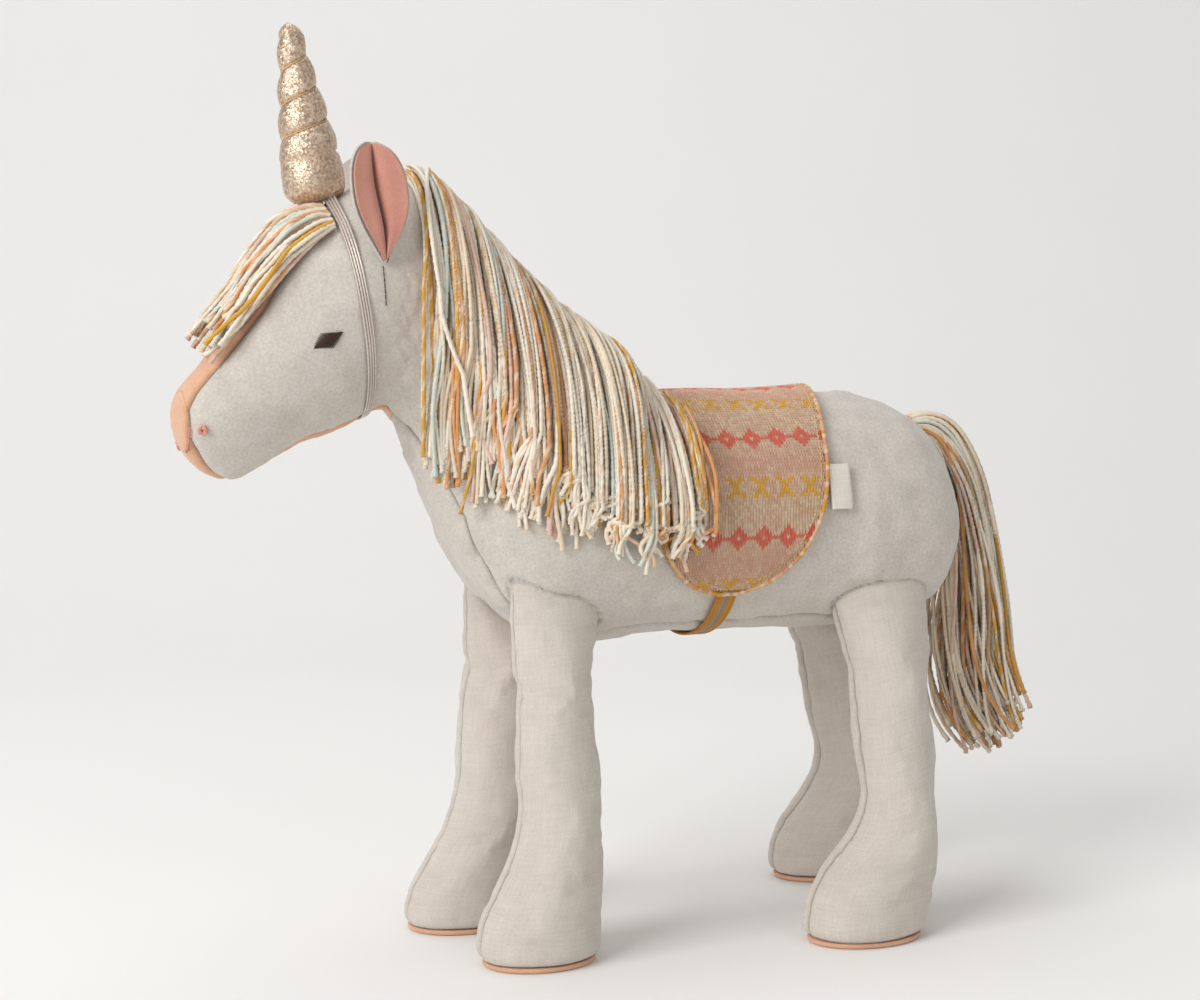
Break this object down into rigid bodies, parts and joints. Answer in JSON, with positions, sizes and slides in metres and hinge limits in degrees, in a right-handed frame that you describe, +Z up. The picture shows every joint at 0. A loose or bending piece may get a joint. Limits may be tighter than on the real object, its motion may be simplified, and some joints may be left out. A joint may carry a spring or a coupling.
{
  "type": "plush unicorn",
  "caption": "Standing soft toy unicorn with a stuffed cloth body, sewn legs, yarn mane and tail, a tie-on horn and a knitted saddle pad.",
  "frame": {"origin": "on the ground, below the middle of the toy", "axes": "+X towards the tail, -X towards the nose, +Y to the toy's right, +Z up"},
  "size_m": [0.3777, 0.1366, 0.376],
  "materials": {
    "brushed_cotton": "brushed plain weave, matt",
    "peach_cotton": "fine plain weave, matt",
    "fibre_filling": "loose polyester fibre",
    "brown_thread": "satin stitch",
    "pink_thread": "hand stitched",
    "metallic_cloth": "foil printed cloth, glitter",
    "gold_thread": "twisted thread",
    "silver_elastic": "ribbed, woven with bright thread",
    "pink_cotton": "fine plain weave, matt",
    "cotton_yarn": "twisted plies, mixed colours",
    "knitted_wool": "knitted, patterned",
    "mustard_lining": "plain jersey",
    "striped_elastic": "ribbed, striped",
    "cotton_tape": "folded woven tape",
    "linen": "plain weave with slubs, matt"
  },
  "bodies": {
    "torso": {"body_side_left": "brushed_cotton", "body_side_right": "brushed_cotton", "belly_gusset": "brushed_cotton", "face_gusset": "peach_cotton", "jaw_gusset": "peach_cotton", "body_filling": "fibre_filling", "eye_left": "brown_thread", "eye_right": "brown_thread", "nostril_knots": "pink_thread", "mouth_stitches": "pink_thread"},
    "ear_left": {"ear_shell_left": "brushed_cotton", "ear_lining_left": "pink_cotton"},
    "ear_right": {"ear_shell_right": "brushed_cotton", "ear_lining_right": "pink_cotton"},
    "horn": {"horn_cover": "metallic_cloth", "horn_filling": "fibre_filling", "horn_thread": "gold_thread", "horn_elastic": "silver_elastic"},
    "forelock": {"forelock": "cotton_yarn"},
    "tail": {"tail": "cotton_yarn"},
    "saddle": {"saddle_knit": "knitted_wool", "saddle_backing": "mustard_lining", "girth_elastic": "striped_elastic"},
    "label": {"label_tab": "cotton_tape"},
    "mane_1": {"mane_lock_1": "cotton_yarn"},
    "mane_2": {"mane_lock_2": "cotton_yarn"},
    "mane_3": {"mane_lock_3": "cotton_yarn"},
    "mane_4": {"mane_lock_4": "cotton_yarn"},
    "mane_5": {"mane_lock_5": "cotton_yarn"},
    "leg_front_left": {"leg_cover_front_left": "linen", "leg_filling_front_left": "fibre_filling", "sole_pad_front_left": "peach_cotton"},
    "leg_front_right": {"leg_cover_front_right": "linen", "leg_filling_front_right": "fibre_filling", "sole_pad_front_right": "peach_cotton"},
    "leg_rear_left": {"leg_cover_rear_left": "linen", "leg_filling_rear_left": "fibre_filling", "sole_pad_rear_left": "peach_cotton"},
    "leg_rear_right": {"leg_cover_rear_right": "linen", "leg_filling_rear_right": "fibre_filling", "sole_pad_rear_right": "peach_cotton"}
  },
  "joints": [
    {"name": "hip_front_left", "type": "hinge", "parent": "torso", "child": "leg_front_left", "pos_m": [-0.046, -0.033, 0.138], "axis": [0, 1, 0], "range_deg": [-12, 12], "stiffness_Nm_per_rad": 1.2, "deforming": ["leg_cover_front_left"]},
    {"name": "hip_front_right", "type": "hinge", "parent": "torso", "child": "leg_front_right", "pos_m": [-0.044, 0.033, 0.138], "axis": [0, 1, 0], "range_deg": [-12, 12], "stiffness_Nm_per_rad": 1.2, "deforming": ["leg_cover_front_right"]},
    {"name": "hip_rear_left", "type": "hinge", "parent": "torso", "child": "leg_rear_left", "pos_m": [0.103, -0.033, 0.138], "axis": [0, 1, 0], "range_deg": [-12, 12], "stiffness_Nm_per_rad": 1.2, "deforming": ["leg_cover_rear_left"]},
    {"name": "hip_rear_right", "type": "hinge", "parent": "torso", "child": "leg_rear_right", "pos_m": [0.109, 0.033, 0.138], "axis": [0, 1, 0], "range_deg": [-12, 12], "stiffness_Nm_per_rad": 1.2, "deforming": ["leg_cover_rear_right"]},
    {"name": "ear_left_tilt", "type": "hinge", "parent": "torso", "child": "ear_left", "pos_m": [-0.117, -0.0355, 0.282], "axis": [1, 0, 0], "range_deg": [-12, 30], "stiffness_Nm_per_rad": 0.02},
    {"name": "ear_right_tilt", "type": "hinge", "parent": "torso", "child": "ear_right", "pos_m": [-0.117, 0.0355, 0.282], "axis": [-1, 0, 0], "range_deg": [-12, 30], "stiffness_Nm_per_rad": 0.02},
    {"name": "horn_pull", "type": "slide", "parent": "torso", "child": "horn", "axis": [-0.1564, 0, 0.9877], "range_m": [0, 0.02], "stiffness_N_per_m": 20, "deforming": ["horn_elastic"]},
    {"name": "forelock_lift", "type": "hinge", "parent": "torso", "child": "forelock", "pos_m": [-0.1405, 0, 0.294], "axis": [0, 1, 0], "range_deg": [0, 40]},
    {"name": "tail_lift", "type": "hinge", "parent": "torso", "child": "tail", "pos_m": [0.1315, 0, 0.212], "axis": [0, -1, 0], "range_deg": [0, 55]},
    {"name": "saddle_slide", "type": "slide", "parent": "torso", "child": "saddle", "axis": [1, 0, 0], "range_m": [0, 0.01]},
    {"name": "label_flap", "type": "hinge", "parent": "saddle", "child": "label", "pos_m": [0.0699, -0.0497, 0.1888], "axis": [0, 0.16, 0.9871], "range_deg": [-60, 0], "stiffness_Nm_per_rad": 0.002},
    {"name": "mane_lift_1", "type": "hinge", "parent": "torso", "child": "mane_1", "pos_m": [-0.0871, -0.0025, 0.3215], "axis": [-1, 0, 0], "range_deg": [0, 45]},
    {"name": "mane_lift_2", "type": "hinge", "parent": "torso", "child": "mane_2", "pos_m": [-0.0653, -0.0025, 0.308], "axis": [-1, 0, 0], "range_deg": [0, 45]},
    {"name": "mane_lift_3", "type": "hinge", "parent": "torso", "child": "mane_3", "pos_m": [-0.0435, -0.003, 0.285], "axis": [-1, 0, 0], "range_deg": [0, 45]},
    {"name": "mane_lift_4", "type": "hinge", "parent": "torso", "child": "mane_4", "pos_m": [-0.0217, -0.004, 0.264], "axis": [-1, 0, 0], "range_deg": [0, 45]},
    {"name": "mane_lift_5", "type": "hinge", "parent": "torso", "child": "mane_5", "pos_m": [0.0001, -0.006, 0.2465], "axis": [-1, 0, 0], "range_deg": [0, 45]}
  ]
}
